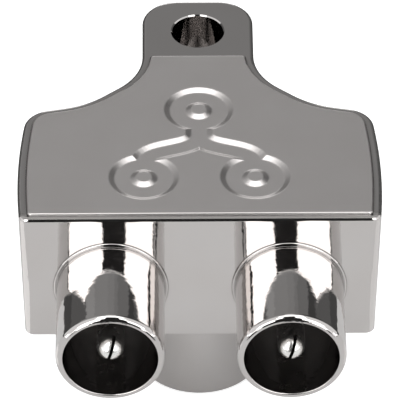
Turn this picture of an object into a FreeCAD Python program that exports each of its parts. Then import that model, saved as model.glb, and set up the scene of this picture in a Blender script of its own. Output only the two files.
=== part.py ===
import FreeCAD, Part
import Sketcher
import math
import os

os.makedirs("parts", exist_ok=True)

# A coaxial splitter: a die-cast bell-shaped box with a keyring tab at the back, two plugs
# at the front and one socket below. +X is right and +Y is back. The origin is on the
# socket's axis in the plane of its open end, which the part stands on.

V = FreeCAD.Vector
UP = V(0, 0, 1)
doc = FreeCAD.newDocument("CoaxialSplitter")

# Driving dimensions, in millimetres

SIZES = (
    # the bell-shaped box, seen from above, measured back from its front face
    ("widest", 32.05),
    ("widest_at", 5.64),
    ("side_bow", 64.0),
    ("shoulder_drop", 1.23),
    ("shoulder_radius", 2.55),
    ("shoulder_width", 5.9),
    ("waist_at", 15.97),
    ("waist_radius", 8.0),
    ("neck_behind_waist", 4.31),
    ("neck_radius", 6.2),
    ("tab_width", 10.1),
    ("tab_length", 10.82),
    ("tab_corner", 3.2),
    ("socket_setback", 8.0),
    ("body_height", 13.43),
    ("draft_angle", 1.4),
    ("front_corner", 0.85),
    ("ledge_edge", 0.34),
    ("foot_edge", 0.1),
    ("outline_lead", 3.0),
    # the inside of the box
    ("side_wall", 1.7),
    ("front_wall", 1.7),
    ("floor_wall", 1.6),
    ("cavity_end_wall", 10.0),
    ("post_radius", 1.3),
    ("post_across", 11.7),
    ("post_front", 4.4),
    ("post_back", 11.9),
    # the hole in the tab
    ("tab_hole", 4.7),
    ("tab_hole_from_end", 4.53),
    ("tab_hole_chamfer", 0.1),
    # the cover plate
    ("cover_inset", 0.78),
    ("cover_front", 0.45),
    ("tab_bare_length", 8.42),
    ("cover_sheet", 1.0),
    ("cover_proud", 0.25),
    ("cover_edge", 0.15),
    ("cover_corner", 0.35),
    ("cover_play", 0.04),
    # the two plugs
    ("plug_spacing", 15.7),
    ("plug_rise", 5.64),
    ("plug_reach", 9.58),
    ("plug_outside", 9.5),
    ("plug_wall", 0.62),
    ("plug_rim_round", 0.5),
    ("plug_rim_edge", 0.1),
    ("collar_outside", 10.1),
    ("collar_thick", 0.15),
    ("spigot_outside", 8.9),
    ("spigot_stand", 0.5),
    ("insulator_face", 0.2),
    ("insulator_stand", 0.7),
    ("boss_outside", 4.0),
    ("boss_length", 0.6),
    ("pin_outside", 2.4),
    ("pin_shank", 2.0),
    ("pin_behind_rim", 0.6),
    ("pin_slot", 0.26),
    ("pin_slot_depth", 1.2),
    ("pin_slot_slant", 16.0),
    ("tail_outside", 1.1),
    ("tail_length", 1.9),
    # the socket below
    ("socket_reach", 9.28),
    ("socket_outside", 11.6),
    ("socket_mouth_round", 0.5),
    ("socket_lip_bore", 9.9),
    ("socket_lip_length", 0.7),
    ("sleeve_bore", 10.5),
    ("sleeve_spigot", 11.1),
    ("sleeve_stand", 0.5),
    ("spring_sheet", 0.32),
    ("spring_waist_bore", 9.45),
    ("spring_waist_at", 2.6),
    ("spring_root", 6.6),
    ("spring_slot", 0.7),
    ("spring_slots", 6),
    ("socket_depth", 9.6),
    ("contact_outside", 3.5),
    ("contact_recess", 0.9),
    ("contact_bore_depth", 7.6),
    ("contact_slot", 0.4),
    ("contact_slot_depth", 4.6),
    ("contact_slots", 4),
    ("contact_tail", 1.3),
    ("contact_tail_stand", 0.7),
    # the circuit board and what is soldered to it
    ("board_below_tail", 0.51),
    ("board_sheet", 1.0),
    ("board_width", 25.8),
    ("board_front", 3.6),
    ("board_back", 13.3),
    ("board_corner", 1.2),
    ("solder_foot", 1.3),
    ("solder_top", 0.9),
    ("solder_rise", 1.5),
    ("contact_solder_rise", 0.6),
    ("core_headroom", 1.4),
    ("core_bore_share", 0.51),
    ("core_thick", 3.0),
    ("core_edge", 0.3),
    ("core_at", 11.6),
    ("wire", 0.4),
    ("wire_clear", 0.3),
    ("wire_turns", 4),
    ("wire_span", 26.0),
    ("resistor_across", 9.3),
    ("resistor_at", 9.2),
    ("resistor_body", 1.9),
    ("resistor_length", 4.4),
    ("resistor_end_cap", 2.2),
    ("resistor_cap_length", 0.9),
    ("resistor_span", 6.4),
    ("resistor_rise", 1.6),
    ("lead", 0.5),
    ("capacitor_across", 9.3),
    ("capacitor_at", 9.2),
    ("capacitor_body", 4.6),
    ("capacitor_thick", 1.9),
    ("capacitor_rise", 1.4),
    ("capacitor_pitch", 2.6),
)
size = dict(SIZES)
sheet = doc.addObject("Spreadsheet::Sheet", "Sizes")
for row, (alias, value) in enumerate(SIZES, start=1):
    sheet.set(f"A{row}", alias)
    sheet.set(f"B{row}", str(value))
    sheet.setAlias(f"B{row}", alias)
doc.recompute()

# Heights and places that several pieces share, as expressions of the driving dimensions

FRONT = "(-Sizes.socket_setback)"
NECK_AT = "(Sizes.waist_at + Sizes.neck_behind_waist)"
DEPTH = f"({NECK_AT} + Sizes.tab_length)"
COVER_REACH = f"({DEPTH} - Sizes.tab_bare_length)"
UNDERSIDE = "Sizes.socket_reach"
LEDGE = "(Sizes.socket_reach + Sizes.body_height)"
INNER_FLOOR = "(Sizes.socket_reach + Sizes.floor_wall)"
COVER_TOP = f"({LEDGE} + Sizes.cover_proud)"
COVER_UNDER = f"({COVER_TOP} - Sizes.cover_sheet)"
PLUG_HEIGHT = f"({UNDERSIDE} + Sizes.plug_rise)"
BOARD_TOP = f"({PLUG_HEIGHT} - Sizes.tail_outside / 2 - Sizes.board_below_tail)"
BOARD_UNDER = f"({BOARD_TOP} - Sizes.board_sheet)"
CORE_OUTSIDE = f"({COVER_UNDER} - {BOARD_TOP} - Sizes.core_headroom)"
CORE_BORE = f"({CORE_OUTSIDE} * Sizes.core_bore_share)"
PLUG_BORE = "(Sizes.plug_outside / 2 - Sizes.plug_wall)"
SPIGOT_END = "(-Sizes.front_wall - Sizes.spigot_stand)"
INSULATOR_END = f"({SPIGOT_END} - Sizes.insulator_stand)"
PIN_SHOULDER = f"({INSULATOR_END} - Sizes.boss_length)"
TAIL_END = f"({PIN_SHOULDER} - Sizes.tail_length)"
CONTACT_BORE = "(Sizes.pin_outside / 2)"

front = -size["socket_setback"]
neck_at = size["waist_at"] + size["neck_behind_waist"]
depth = neck_at + size["tab_length"]
cover_reach = depth - size["tab_bare_length"]
ledge = size["socket_reach"] + size["body_height"]
cover_top = ledge + size["cover_proud"]
plug_height = size["socket_reach"] + size["plug_rise"]
board_top = plug_height - size["tail_outside"] / 2 - size["board_below_tail"]
core_outside = cover_top - size["cover_sheet"] - board_top - size["core_headroom"]
core_bore = core_outside * size["core_bore_share"]

nodes = {}


def keep(label, piece):
    """Name a finished sub-part after the node that it becomes."""
    piece.Label = label
    nodes[label] = piece


def bind(piece, **cells):
    """Bind properties of a piece to expressions of the sheet."""
    for name, expression in cells.items():
        piece.setExpression(name, str(expression))


def move(piece, x="0", y="0", z="0"):
    """Bind where a piece stands."""
    for axis, expression in (("x", x), ("y", y), ("z", z)):
        piece.setExpression(f".Placement.Base.{axis}", expression)


def origin_plane(body, role):
    """One of a body's own origin planes."""
    return next(plane for plane in body.Origin.OriginFeatures if plane.Role == role)


def constrain(sketch, rules):
    """Add a list of constraints, each with the expression that it is bound to or None."""
    numbers = sketch.addConstraint([rule for rule, _ in rules])
    for number, (_, expression) in zip(numbers, rules):
        if expression is not None:
            sketch.setExpression(f"Constraints[{number}]", expression)


def polygon(sketch, corners):
    """Draw a closed outline whose corners are pairs of expressions."""
    count = len(corners)
    start = [V(math.cos(2 * math.pi * k / count), math.sin(2 * math.pi * k / count), 0)
             for k in range(count)]
    sketch.addGeometry([Part.LineSegment(start[k], start[(k + 1) % count])
                        for k in range(count)], False)
    rules = [(Sketcher.Constraint("Coincident", k, 2, (k + 1) % count, 1), None)
             for k in range(count)]
    for k, (across, along) in enumerate(corners):
        rules += [(Sketcher.Constraint("DistanceX", -1, 1, k, 1, start[k].x), across),
                  (Sketcher.Constraint("DistanceY", -1, 1, k, 1, start[k].y), along)]
    constrain(sketch, rules)
    return sketch


def body_sketch(body, name, role):
    """An empty sketch on one of a body's origin planes."""
    sketch = body.newObject("Sketcher::SketchObject", name)
    sketch.AttachmentSupport = [(origin_plane(body, role), "")]
    sketch.MapMode = "FlatFace"
    return sketch


def turned(name, corners):
    """A body turned about its own Z axis from corners given as radius and height."""
    body = doc.addObject("PartDesign::Body", name)
    sketch = polygon(body_sketch(body, name + "_profile", "XZ_Plane"), corners)
    turning = body.newObject("PartDesign::Revolution", name + "_turning")
    turning.Profile = sketch
    turning.ReferenceAxis = (sketch, ["V_Axis"])
    turning.Angle = 360
    doc.recompute()
    return body


def ring_edges(shape, wanted):
    """Names of the round edges with the wanted pairs of radius and height."""
    names = []
    for number, edge in enumerate(shape.Edges, start=1):
        if not isinstance(edge.Curve, Part.Circle):
            continue
        for radius, height in wanted:
            if abs(edge.Curve.Radius - radius) < 1e-4 and abs(edge.Curve.Center.z - height) < 1e-4:
                names.append(f"Edge{number}")
    return names


def round_rings(body, name, radius, wanted):
    """Round the wanted ring edges of a turned body."""
    base = body.Tip
    rounding = body.newObject("PartDesign::Fillet", name)
    rounding.Base = (base, ring_edges(base.Shape, wanted))
    bind(rounding, Radius=radius)
    doc.recompute()


def bevel_rings(body, name, width, wanted):
    """Take the wanted ring edges of a turned body off at 45 degrees."""
    base = body.Tip
    bevel = body.newObject("PartDesign::Chamfer", name)
    bevel.Base = (base, ring_edges(base.Shape, wanted))
    bind(bevel, Size=width)
    doc.recompute()


def slots_from_end(body, name, width, depth_from, depth_to, copies):
    """Saw slots through a tube's wall from one end, evenly round its axis."""
    sketch = polygon(body_sketch(body, name + "_plan", "XZ_Plane"), [
        (f"-{width} / 2", depth_from),
        (f"{width} / 2", depth_from),
        (f"{width} / 2", depth_to),
        (f"-{width} / 2", depth_to),
    ])
    slot = body.newObject("PartDesign::Pocket", name)
    slot.Profile = sketch
    slot.Type = "Length"
    bind(slot, Length="Sizes.socket_outside")
    doc.recompute()
    pattern = body.newObject("PartDesign::PolarPattern", name + "_round")
    pattern.Originals = [slot]
    pattern.Axis = (next(a for a in body.Origin.OriginFeatures if a.Role == "Z_Axis"), [""])
    pattern.Angle = 360
    bind(pattern, Occurrences=copies)
    body.Tip = pattern
    doc.recompute()


def box(name, x, y, z, length, width, height):
    """A block between bound corners."""
    block = doc.addObject("Part::Box", name)
    bind(block, Length=length, Width=width, Height=height)
    move(block, x, y, z)
    return block


def cylinder(name, x, y, z, radius, height):
    """A round bar that stands on a bound point."""
    bar = doc.addObject("Part::Cylinder", name)
    bind(bar, Radius=radius, Height=height)
    move(bar, x, y, z)
    return bar


def cut(name, base, tool):
    result = doc.addObject("Part::Cut", name)
    result.Base = base
    result.Tool = tool
    return result


def fuse(name, pieces):
    result = doc.addObject("Part::MultiFuse", name)
    result.Shapes = pieces
    return result


def common(name, base, tool):
    result = doc.addObject("Part::Common", name)
    result.Base = base
    result.Tool = tool
    return result


def soften(name, base, radius, chosen, kind="Part::Fillet"):
    """Round or bevel the chosen edges of a solid that stands outside a body."""
    doc.recompute()
    numbers = [n for n, edge in enumerate(base.Shape.Edges, start=1) if chosen(edge)]
    softened = doc.addObject(kind, name)
    softened.Base = base
    softened.Edges = [(n, radius, radius) for n in numbers]
    doc.recompute()
    return softened


# The bell outline

def bell_outline():
    """One closed sketch of the box from above: bowed sides, shoulders, waist, neck and tab.

    Its front line lies a little ahead of the front face, and each piece made from it is cut
    off at its own front."""
    sketch = doc.addObject("Sketcher::SketchObject", "bell_outline")
    shapes = []
    rules = []

    def draw(shape):
        shapes.append(shape)
        return len(shapes) - 1

    def arc(centre, radius, first, last):
        """The shorter arc between two points, with the ends that they become."""
        a = math.atan2(first.y - centre.y, first.x - centre.x)
        b = math.atan2(last.y - centre.y, last.x - centre.x)
        circle = Part.Circle(centre, UP, radius)
        if (b - a) % (2 * math.pi) < math.pi:
            return draw(Part.ArcOfCircle(circle, a, b)), 1, 2
        return draw(Part.ArcOfCircle(circle, b, a)), 2, 1

    def line(first, last):
        return draw(Part.LineSegment(first, last)), 1, 2

    def rule(expression, *words):
        rules.append((Sketcher.Constraint(*words), expression))

    def hold(kind, number, end, value, expression):
        rule(expression, kind, -1, 1, number, end, value)

    def rounded_at(corner, to_one, to_other, radius):
        """Where a corner's arc touches its two sides, and the arc's centre."""
        half = to_one.getAngle(to_other) / 2
        reach = radius / math.tan(half)
        middle = (to_one + to_other).normalize()
        return (corner + to_one * reach, corner + to_other * reach,
                corner + middle * (radius / math.sin(half)))

    ends = {}
    marks = []
    for sign in (1, -1):
        bow = V(sign * (size["widest"] / 2 - size["side_bow"]), size["widest_at"], 0)
        waist = V(sign * (size["widest"] / 2 - size["shoulder_width"]), size["waist_at"], 0)
        brow = V(sign * size["widest"] / 2, size["waist_at"] - size["shoulder_drop"], 0)
        neck = V(sign * size["tab_width"] / 2, neck_at, 0)
        tail = V(sign * size["tab_width"] / 2, depth, 0)
        lead = -size["outline_lead"]
        run = math.sqrt(size["side_bow"] ** 2 - (lead - bow.y) ** 2)
        start = V(bow.x + sign * run, lead, 0)

        # the shoulder's rounding touches the bowed side and the shoulder line
        outward = (brow - waist).normalize()
        inward = V(sign * outward.y, -sign * outward.x, 0)
        foot = waist + inward * size["shoulder_radius"] - bow
        middle = foot.dot(outward)
        gap = size["side_bow"] - size["shoulder_radius"]
        far = -middle + math.sqrt(middle ** 2 - foot.dot(foot) + gap ** 2)
        centre = bow + foot + outward * far
        off_side = bow + (centre - bow).normalize() * size["side_bow"]
        on_shoulder = waist + outward * far

        down = (neck - waist).normalize()
        before_waist, after_waist, waist_centre = rounded_at(
            waist, outward, down, size["waist_radius"])
        before_neck, after_neck, neck_centre = rounded_at(
            neck, down * -1, V(0, 1, 0), size["neck_radius"])
        before_tail, after_tail, tail_centre = rounded_at(
            tail, V(0, -1, 0), V(-sign, 0, 0), size["tab_corner"])

        chain = [
            arc(bow, size["side_bow"], start, off_side),
            arc(centre, size["shoulder_radius"], off_side, on_shoulder),
            line(on_shoulder, before_waist),
            arc(waist_centre, size["waist_radius"], before_waist, after_waist),
            line(after_waist, before_neck),
            arc(neck_centre, size["neck_radius"], before_neck, after_neck),
            line(after_neck, before_tail),
            arc(tail_centre, size["tab_corner"], before_tail, after_tail),
        ]
        for (one, _, last), (other, first, _) in zip(chain, chain[1:]):
            rule(None, "Tangent", one, last, other, first)

        side = "" if sign > 0 else "-"
        hold("DistanceX", chain[0][0], 3, bow.x, f"{side}(Sizes.widest / 2 - Sizes.side_bow)")
        hold("DistanceY", chain[0][0], 3, bow.y, "Sizes.widest_at")
        hold("DistanceY", chain[0][0], chain[0][1], lead, "-Sizes.outline_lead")
        for place, name in ((0, "side_bow"), (1, "shoulder_radius"), (3, "waist_radius"),
                            (5, "neck_radius"), (7, "tab_corner")):
            rule(f"Sizes.{name}", "Radius", chain[place][0], size[name])
        for point, across, along, lines in (
                (brow, "Sizes.widest / 2", "Sizes.waist_at - Sizes.shoulder_drop", (2,)),
                (waist, "Sizes.widest / 2 - Sizes.shoulder_width", "Sizes.waist_at", (2, 4)),
                (neck, "Sizes.tab_width / 2", NECK_AT, (4, 6))):
            mark = draw(Part.Point(point))
            marks.append(mark)
            hold("DistanceX", mark, 1, point.x, f"{side}({across})")
            hold("DistanceY", mark, 1, point.y, along)
            for place in lines:
                rule(None, "PointOnObject", mark, 1, chain[place][0])
        rule(None, "Vertical", chain[6][0])
        ends[sign] = (chain[0][0], chain[0][1], start, chain[7][0], chain[7][2], after_tail)

    lead_line, _, _ = line(ends[-1][2], ends[1][2])
    tail_line, _, _ = line(ends[1][5], ends[-1][5])
    rule(None, "Coincident", lead_line, 1, ends[-1][0], ends[-1][1])
    rule(None, "Coincident", lead_line, 2, ends[1][0], ends[1][1])
    rule(None, "Tangent", tail_line, 1, ends[1][3], ends[1][4])
    rule(None, "Tangent", tail_line, 2, ends[-1][3], ends[-1][4])
    hold("DistanceY", tail_line, 1, depth, DEPTH)
    sketch.addGeometry(shapes, False)
    for mark in marks:
        sketch.setConstruction(mark, True)
    constrain(sketch, rules)
    return sketch


outline = bell_outline()
move(outline, "0", FRONT, LEDGE)
doc.recompute()


def inset_line(name, inset):
    """The bell outline drawn in by a bound distance."""
    inner = doc.addObject("Part::Offset2D", name)
    inner.Source = outline
    inner.Fill = False
    inner.Mode = "Pipe"
    inner.Join = "Arc"
    bind(inner, Value=f"-({inset})")
    return inner


def prism(name, profile, z, height, taper="0"):
    """A solid between two heights, drawn from a plan."""
    solid = doc.addObject("Part::Extrusion", name)
    solid.Base = profile
    solid.DirMode = "Custom"
    solid.Dir = UP
    solid.Solid = True
    bind(solid, LengthFwd=height, TaperAngle=taper)
    move(solid, "0", "0", z)
    return solid


def behind(name, solid, y, reach):
    """The part of a solid that lies between two distances behind the front face."""
    slab = box(name + "_slab", "-Sizes.widest", f"{FRONT} + {y}", "0",
               "2 * Sizes.widest", f"{reach} - ({y})", f"2 * {LEDGE}")
    return common(name, solid, slab)


# The housing is a zinc die casting. Its sides and tab draw in towards the underside, and
# its front is flat and upright. A step round the top takes the cover.

blank = doc.addObject("Part::Extrusion", "housing_blank")
blank.Base = outline
blank.DirMode = "Custom"
blank.Dir = UP
blank.Solid = True
bind(blank, LengthRev="Sizes.body_height", LengthFwd="0", TaperAngleRev="-Sizes.draft_angle")
fronted = behind("housing_fronted", blank, "0", f"2 * {DEPTH}")


def is_front_corner(edge):
    """The two upright edges at the ends of the front face."""
    low, high = edge.BoundBox.ZMin, edge.BoundBox.ZMax
    flat = abs(edge.BoundBox.YMax - front) < 1e-3 and abs(edge.BoundBox.YMin - front) < 1e-3
    return flat and high - low > size["body_height"] / 2


def is_rim(height):
    """The edges that lie in one level plane."""
    def test(edge):
        return abs(edge.BoundBox.ZMin - height) < 1e-3 and abs(edge.BoundBox.ZMax - height) < 1e-3
    return test


cornered = soften("housing_cornered", fronted, size["front_corner"], is_front_corner)
ledged = soften("housing_ledged", cornered, size["ledge_edge"], is_rim(ledge))
footed = soften("housing_footed", ledged, size["foot_edge"], is_rim(size["socket_reach"]),
                "Part::Chamfer")

recess_line = inset_line("recess_line", "Sizes.cover_inset - Sizes.cover_play")
recess_prism = prism("recess_prism", recess_line, f"{COVER_UNDER} - {LEDGE}", "Sizes.body_height")
recess = behind("recess", recess_prism, "Sizes.cover_front - Sizes.cover_play",
                f"{COVER_REACH} + Sizes.cover_play")
cavity_line = inset_line("cavity_line", "Sizes.side_wall")
cavity_prism = prism("cavity_prism", cavity_line, f"{INNER_FLOOR} - {LEDGE}", "Sizes.body_height")
cavity = behind("cavity", cavity_prism, "Sizes.front_wall", f"{DEPTH} - Sizes.cavity_end_wall")
posts = [cylinder(f"post_{a}_{b}", f"{a} * Sizes.post_across", f"{FRONT} + Sizes.post_{b}",
                  "Sizes.socket_reach + Sizes.floor_wall / 2", "Sizes.post_radius",
                  f"{BOARD_UNDER} - Sizes.socket_reach - Sizes.floor_wall / 2")
         for a in (-1, 1) for b in ("front", "back")]
openings = [recess, cavity]
for sign in (-1, 1):
    hole = cylinder(f"plug_hole_{sign + 1}", f"{sign} * Sizes.plug_spacing / 2",
                    f"{FRONT} + 2 * Sizes.front_wall", PLUG_HEIGHT, "Sizes.spigot_outside / 2",
                    "4 * Sizes.front_wall")
    hole.Placement = FreeCAD.Placement(hole.Placement.Base, FreeCAD.Rotation(V(1, 0, 0), 90))
    openings.append(hole)
openings.append(cylinder("socket_hole", "0", "0", "0", "Sizes.sleeve_spigot / 2",
                         f"{INNER_FLOOR} + Sizes.floor_wall / 2"))
openings.append(cylinder("tab_hole", "0", f"{FRONT} + {DEPTH} - Sizes.tab_hole_from_end", "0",
                         "Sizes.tab_hole / 2", f"{LEDGE} + Sizes.body_height"))
shell = cut("housing_shell", footed, fuse("housing_openings", openings))
posted = fuse("housing_posted", [shell] + posts)


def is_tab_hole_rim(edge):
    """The round edge at the top of the tab's hole."""
    return (isinstance(edge.Curve, Part.Circle) and abs(edge.Curve.Center.z - ledge) < 1e-3
            and abs(edge.Curve.Radius - size["tab_hole"] / 2) < 1e-3)


keep("housing", soften("housing_chamfered", posted, size["tab_hole_chamfer"], is_tab_hole_rim,
                       "Part::Chamfer"))

# The cover is a flat plate pressed into the step round the top, standing a little proud.

cover_line = inset_line("cover_line", "Sizes.cover_inset")
cover_prism = prism("cover_prism", cover_line, f"{COVER_UNDER} - {LEDGE}", "Sizes.cover_sheet")
plate = behind("cover_plate", cover_prism, "Sizes.cover_front", COVER_REACH)


def is_cover_corner(edge):
    """The upright edges at the two ends of the plate."""
    upright = edge.BoundBox.ZMax - edge.BoundBox.ZMin > size["cover_sheet"] / 2
    at_front = abs(edge.BoundBox.YMin - front - size["cover_front"]) < 1e-3
    at_back = abs(edge.BoundBox.YMax - front - cover_reach) < 1e-3
    return upright and (at_front or at_back)


plate_cornered = soften("cover_cornered", plate, size["cover_corner"], is_cover_corner)
keep("top_cover", soften("cover_edged", plate_cornered, size["cover_edge"], is_rim(cover_top)))

# Each plug is a turned barrel with a collar that seats on the front face, a black
# insulator, and a domed centre pin sawn across its tip. Its own axis is Z, from the front
# face outwards, and it is turned to point forwards.

FORWARD = FreeCAD.Rotation(V(1, 0, 0), 90)
DOME_SHARE = 0.49  # of the pin's width: nearly a half ball, with a tiny flat at its tip


def plug_barrel(name):
    barrel = turned(name, [
        (PLUG_BORE, SPIGOT_END),
        ("Sizes.spigot_outside / 2", SPIGOT_END),
        ("Sizes.spigot_outside / 2", "0"),
        ("Sizes.collar_outside / 2", "0"),
        ("Sizes.collar_outside / 2", "Sizes.collar_thick"),
        ("Sizes.plug_outside / 2", "Sizes.collar_thick"),
        ("Sizes.plug_outside / 2", "Sizes.plug_reach"),
        (PLUG_BORE, "Sizes.plug_reach"),
    ])
    outside = size["plug_outside"] / 2
    round_rings(barrel, name + "_rim_round", "Sizes.plug_rim_round", [(outside, size["plug_reach"])])
    bevel_rings(barrel, name + "_rim_edge", "Sizes.plug_rim_edge", [
        (outside - size["plug_wall"], size["plug_reach"])])
    bevel_rings(barrel, name + "_collar_edge", "Sizes.collar_thick / 2", [
        (size["collar_outside"] / 2, size["collar_thick"])])
    return barrel


def plug_insulator(name):
    return turned(name, [
        ("Sizes.pin_shank / 2", PIN_SHOULDER),
        ("Sizes.boss_outside / 2", PIN_SHOULDER),
        ("Sizes.boss_outside / 2", INSULATOR_END),
        ("Sizes.spigot_outside / 2", INSULATOR_END),
        ("Sizes.spigot_outside / 2", SPIGOT_END),
        (PLUG_BORE, SPIGOT_END),
        (PLUG_BORE, "-Sizes.insulator_face"),
        ("Sizes.pin_shank / 2", "-Sizes.insulator_face"),
    ])


def centre_pin(name):
    tip = "(Sizes.plug_reach - Sizes.pin_behind_rim)"
    pin = turned(name, [
        ("0", TAIL_END),
        ("Sizes.tail_outside / 2", TAIL_END),
        ("Sizes.tail_outside / 2", PIN_SHOULDER),
        ("Sizes.pin_shank / 2", PIN_SHOULDER),
        ("Sizes.pin_shank / 2", "-Sizes.insulator_face"),
        ("Sizes.pin_outside / 2", "-Sizes.insulator_face"),
        ("Sizes.pin_outside / 2", tip),
        ("0", tip),
    ])
    round_rings(pin, name + "_dome", f"Sizes.pin_outside * {DOME_SHARE}", [
        (size["pin_outside"] / 2, size["plug_reach"] - size["pin_behind_rim"])])
    sketch = polygon(body_sketch(pin, name + "_slot_plan", "XZ_Plane"), [
        ("-Sizes.pin_slot / 2", f"{tip} - Sizes.pin_slot_depth"),
        ("Sizes.pin_slot / 2", f"{tip} - Sizes.pin_slot_depth"),
        ("Sizes.pin_slot / 2", f"{tip} + Sizes.pin_slot"),
        ("-Sizes.pin_slot / 2", f"{tip} + Sizes.pin_slot"),
    ])
    slot = pin.newObject("PartDesign::Pocket", name + "_slot")
    slot.Profile = sketch
    slot.SideType = "Symmetric"
    slot.Type = "Length"
    bind(slot, Length="2 * Sizes.pin_outside")
    doc.recompute()
    return pin


for side, sign in (("left", -1), ("right", 1)):
    across = f"{sign} * Sizes.plug_spacing / 2"
    for label, piece, turn in (
            (f"{side}_plug_shell", plug_barrel(f"{side}_barrel"), 0),
            (f"{side}_plug_insulator", plug_insulator(f"{side}_insulator"), 0),
            (f"{side}_centre_pin", centre_pin(f"{side}_pin"), size["pin_slot_slant"])):
        piece.Placement.Rotation = FORWARD * FreeCAD.Rotation(UP, -turn)
        move(piece, across, FRONT, PLUG_HEIGHT)
        keep(label, piece)

# The socket is a turned sleeve with a rolled lip, a sprung slotted liner that grips a
# plug's barrel, an insulator, and a slotted tube that takes the plug's pin.

sleeve = turned("sleeve", [
    ("Sizes.socket_lip_bore / 2", "0"),
    ("Sizes.socket_outside / 2", "0"),
    ("Sizes.socket_outside / 2", UNDERSIDE),
    ("Sizes.sleeve_spigot / 2", UNDERSIDE),
    ("Sizes.sleeve_spigot / 2", f"{INNER_FLOOR} + Sizes.sleeve_stand"),
    ("Sizes.sleeve_bore / 2", f"{INNER_FLOOR} + Sizes.sleeve_stand"),
    ("Sizes.sleeve_bore / 2", "Sizes.socket_lip_length"),
    ("Sizes.socket_lip_bore / 2", "Sizes.socket_lip_length"),
])
round_rings(sleeve, "sleeve_mouth", "Sizes.socket_mouth_round", [(size["socket_outside"] / 2, 0)])
keep("socket_sleeve", sleeve)

liner = turned("liner", [
    ("Sizes.sleeve_bore / 2 - Sizes.spring_sheet", "Sizes.socket_lip_length"),
    ("Sizes.sleeve_bore / 2", "Sizes.socket_lip_length"),
    ("Sizes.spring_waist_bore / 2 + Sizes.spring_sheet", "Sizes.spring_waist_at"),
    ("Sizes.sleeve_bore / 2", "Sizes.spring_root"),
    ("Sizes.sleeve_bore / 2", "Sizes.socket_depth"),
    ("Sizes.sleeve_bore / 2 - Sizes.spring_sheet", "Sizes.socket_depth"),
    ("Sizes.sleeve_bore / 2 - Sizes.spring_sheet", "Sizes.spring_root"),
    ("Sizes.spring_waist_bore / 2", "Sizes.spring_waist_at"),
])
slots_from_end(liner, "liner_slot", "Sizes.spring_slot", "0", "Sizes.spring_root",
               "Sizes.spring_slots")
keep("socket_spring_contact", liner)

insulator = turned("socket_disc", [
    ("Sizes.contact_tail / 2", "Sizes.socket_depth"),
    ("Sizes.sleeve_bore / 2", "Sizes.socket_depth"),
    ("Sizes.sleeve_bore / 2", BOARD_UNDER),
    ("Sizes.contact_tail / 2", BOARD_UNDER),
])
keep("socket_insulator", insulator)

contact = turned("contact", [
    (CONTACT_BORE, "Sizes.contact_recess"),
    ("Sizes.contact_outside / 2", "Sizes.contact_recess"),
    ("Sizes.contact_outside / 2", "Sizes.socket_depth"),
    ("Sizes.contact_tail / 2", "Sizes.socket_depth"),
    ("Sizes.contact_tail / 2", f"{BOARD_TOP} + Sizes.contact_tail_stand"),
    ("0", f"{BOARD_TOP} + Sizes.contact_tail_stand"),
    ("0", "Sizes.contact_recess + Sizes.contact_bore_depth"),
    (CONTACT_BORE, "Sizes.contact_recess + Sizes.contact_bore_depth"),
])
slots_from_end(contact, "contact_slot", "Sizes.contact_slot", "0",
               "Sizes.contact_recess + Sizes.contact_slot_depth", "Sizes.contact_slots")
keep("socket_centre_contact", contact)

# The circuit board lies on four cast posts, and its hole passes the socket's contact.

board_blank = box("board_blank", "-Sizes.board_width / 2", f"{FRONT} + Sizes.board_front",
                  BOARD_UNDER, "Sizes.board_width",
                  "Sizes.board_back - Sizes.board_front", "Sizes.board_sheet")


def is_board_corner(edge):
    """The four upright edges of the board."""
    return edge.BoundBox.ZMax - edge.BoundBox.ZMin > size["board_sheet"] / 2


board_cornered = soften("board_cornered", board_blank, size["board_corner"], is_board_corner)
board = cut("board", board_cornered, cylinder(
    "board_hole", "0", "0", f"{BOARD_UNDER} - Sizes.board_sheet", "Sizes.contact_tail / 2",
    "3 * Sizes.board_sheet"))
keep("circuit_board", board)

# Solder joins each pin's tail and the socket's contact to the board.


def solder_cone(name, x, y, rise):
    cone = doc.addObject("Part::Cone", name)
    bind(cone, Radius1="Sizes.solder_foot", Radius2="Sizes.solder_top", Height=rise)
    move(cone, x, y, BOARD_TOP)
    return cone


for side, sign in (("left", -1), ("right", 1)):
    across = f"{sign} * Sizes.plug_spacing / 2"
    blob = solder_cone(f"{side}_blob", across, f"{FRONT} - ({TAIL_END}) - Sizes.solder_foot / 3",
                       "Sizes.solder_rise")
    tail = cylinder(f"{side}_tail_space", across, f"{FRONT} - ({TAIL_END})", PLUG_HEIGHT,
                    "Sizes.tail_outside / 2", "Sizes.tail_length * 2")
    tail.Placement.Rotation = FORWARD
    keep(f"{side}_pin_solder", cut(f"{side}_solder", blob, tail))
blob = solder_cone("contact_blob", "0", "0", "Sizes.contact_solder_rise")
keep("socket_contact_solder", cut("contact_solder", blob, cylinder(
    "contact_tail_space", "0", "0", BOARD_UNDER, "Sizes.contact_tail / 2",
    "4 * Sizes.board_sheet")))

# The ferrite ring stands on the board, with its axis from front to back.

core = turned("core", [
    (f"{CORE_BORE} / 2", "-Sizes.core_thick / 2"),
    (f"{CORE_OUTSIDE} / 2", "-Sizes.core_thick / 2"),
    (f"{CORE_OUTSIDE} / 2", "Sizes.core_thick / 2"),
    (f"{CORE_BORE} / 2", "Sizes.core_thick / 2"),
])
bevel_rings(core, "core_edges", "Sizes.core_edge", [
    (radius, z) for radius in (core_bore / 2, core_outside / 2)
    for z in (-size["core_thick"] / 2, size["core_thick"] / 2)])
core.Placement.Rotation = FORWARD
move(core, "0", f"{FRONT} + Sizes.core_at", f"{BOARD_TOP} + {CORE_OUTSIDE} / 2")
keep("ferrite_core", core)


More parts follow.
